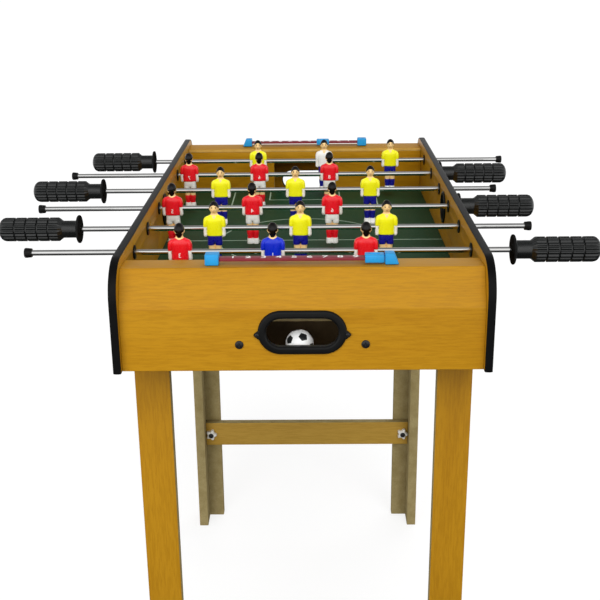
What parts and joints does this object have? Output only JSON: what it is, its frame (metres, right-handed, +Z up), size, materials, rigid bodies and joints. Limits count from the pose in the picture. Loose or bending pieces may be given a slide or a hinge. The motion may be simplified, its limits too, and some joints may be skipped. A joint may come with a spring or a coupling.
{
  "type": "foosball table",
  "caption": "Small free-standing table football game: wooden body on L-section legs, sliding and turning rods with moulded players and grips, score rails and ball.",
  "frame": {"origin": "on the floor, under the middle of the bounding box with the rods as stored; the table's own middle plane is at x = 0.021", "axes": "+X to the right along the rods, +Y from the front goal to the back goal, +Z up"},
  "size_m": [0.666, 0.7, 0.632],
  "materials": {
    "wood_laminate": "satin honey wood laminate on board",
    "black_trim": "black edge foil, satin",
    "field_green": "dark green printed board with white lines",
    "black_plastic": "black moulded plastic, satin",
    "chrome": "bright plated steel tube",
    "red": "moulded plastic figure, painted: red shirt, white shorts, red socks",
    "yellow": "moulded plastic figure, painted: yellow shirt, blue shorts, blue socks",
    "keeper_blue": "moulded plastic figure, painted: blue shirt, white shorts",
    "keeper_white": "moulded plastic figure, painted: white shirt, blue shorts",
    "score_maroon": "maroon plastic bar with white numerals between sky blue blocks",
    "score_blue": "sky blue moulded plastic",
    "ball_white": "white plastic ball with black panels"
  },
  "bodies": {
    "table": {"side_panel_left": "wood_laminate", "edge_trim_left": "black_trim", "serve_ring_left": "black_plastic", "side_panel_right": "wood_laminate", "edge_trim_right": "black_trim", "serve_ring_right": "black_plastic", "end_panel_front": "wood_laminate", "return_ring_front": "black_plastic", "goal_wall_front": "wood_laminate", "crossbar_front": "wood_laminate", "score_rail_front": "score_maroon", "leg_front_left": "wood_laminate", "leg_front_right": "wood_laminate", "end_panel_back": "wood_laminate", "return_ring_back": "black_plastic", "goal_wall_back": "wood_laminate", "crossbar_back": "wood_laminate", "score_rail_back": "score_maroon", "leg_back_left": "wood_laminate", "leg_back_right": "wood_laminate", "playfield": "field_green"},
    "front_score_slider": {"score_slider_front": "score_blue"},
    "back_score_slider": {"score_slider_back": "score_blue"},
    "ball": {"ball": "ball_white"},
    "rod_1_carriage": {"end_cap_1": "black_plastic"},
    "rod_1_assembly": {"rod_1": "chrome", "handle_1": "black_plastic", "player_1_left": "red", "player_1_middle": "keeper_blue", "player_1_right": "red"},
    "rod_2_carriage": {"end_cap_2": "black_plastic"},
    "rod_2_assembly": {"rod_2": "chrome", "handle_2": "black_plastic", "player_2_left": "yellow", "player_2_middle": "yellow", "player_2_right": "yellow"},
    "rod_3_carriage": {"end_cap_3": "black_plastic"},
    "rod_3_assembly": {"rod_3": "chrome", "handle_3": "black_plastic", "player_3_left": "red", "player_3_middle": "red", "player_3_right": "red"},
    "rod_4_carriage": {"end_cap_4": "black_plastic"},
    "rod_4_assembly": {"rod_4": "chrome", "handle_4": "black_plastic", "player_4_left": "yellow", "player_4_middle": "yellow", "player_4_right": "yellow"},
    "rod_5_carriage": {"end_cap_5": "black_plastic"},
    "rod_5_assembly": {"rod_5": "chrome", "handle_5": "black_plastic", "player_5_left": "red", "player_5_middle": "red", "player_5_right": "red"},
    "rod_6_carriage": {"end_cap_6": "black_plastic"},
    "rod_6_assembly": {"rod_6": "chrome", "handle_6": "black_plastic", "player_6_left": "yellow", "player_6_middle": "keeper_white", "player_6_right": "yellow"}
  },
  "joints": [
    {"name": "front_score_slide", "type": "slide", "parent": "table", "child": "front_score_slider", "axis": [1, 0, 0], "range_m": [-0.142, 0]},
    {"name": "back_score_slide", "type": "slide", "parent": "table", "child": "back_score_slider", "axis": [1, 0, 0], "range_m": [-0.099, 0.043]},
    {"name": "ball_roll", "type": "slide", "parent": "table", "child": "ball", "axis": [1, 0, 0], "range_m": [-0.157, 0.163]},
    {"name": "rod_1_slide", "type": "slide", "parent": "table", "child": "rod_1_carriage", "axis": [1, 0, 0], "range_m": [-0.0316, 0.0936]},
    {"name": "rod_1_spin", "type": "hinge", "parent": "rod_1_carriage", "child": "rod_1_assembly", "pos_m": [-0.01, -0.23625, 0.601], "axis": [1, 0, 0], "continuous": true},
    {"name": "rod_2_slide", "type": "slide", "parent": "table", "child": "rod_2_carriage", "axis": [1, 0, 0], "range_m": [-0.0596, 0.0656]},
    {"name": "rod_2_spin", "type": "hinge", "parent": "rod_2_carriage", "child": "rod_2_assembly", "pos_m": [0.018, -0.14175, 0.601], "axis": [1, 0, 0], "continuous": true},
    {"name": "rod_3_slide", "type": "slide", "parent": "table", "child": "rod_3_carriage", "axis": [1, 0, 0], "range_m": [-0.0001, 0.1251]},
    {"name": "rod_3_spin", "type": "hinge", "parent": "rod_3_carriage", "child": "rod_3_assembly", "pos_m": [-0.0415, -0.04725, 0.601], "axis": [1, 0, 0], "continuous": true},
    {"name": "rod_4_slide", "type": "slide", "parent": "table", "child": "rod_4_carriage", "axis": [1, 0, 0], "range_m": [-0.0516, 0.0736]},
    {"name": "rod_4_spin", "type": "hinge", "parent": "rod_4_carriage", "child": "rod_4_assembly", "pos_m": [0.01, 0.04725, 0.601], "axis": [1, 0, 0], "continuous": true},
    {"name": "rod_5_slide", "type": "slide", "parent": "table", "child": "rod_5_carriage", "axis": [1, 0, 0], "range_m": [-0.0001, 0.1251]},
    {"name": "rod_5_spin", "type": "hinge", "parent": "rod_5_carriage", "child": "rod_5_assembly", "pos_m": [-0.0415, 0.14175, 0.601], "axis": [1, 0, 0], "continuous": true},
    {"name": "rod_6_slide", "type": "slide", "parent": "table", "child": "rod_6_carriage", "axis": [1, 0, 0], "range_m": [-0.0916, 0.0336]},
    {"name": "rod_6_spin", "type": "hinge", "parent": "rod_6_carriage", "child": "rod_6_assembly", "pos_m": [0.05, 0.23625, 0.601], "axis": [1, 0, 0], "continuous": true}
  ]
}
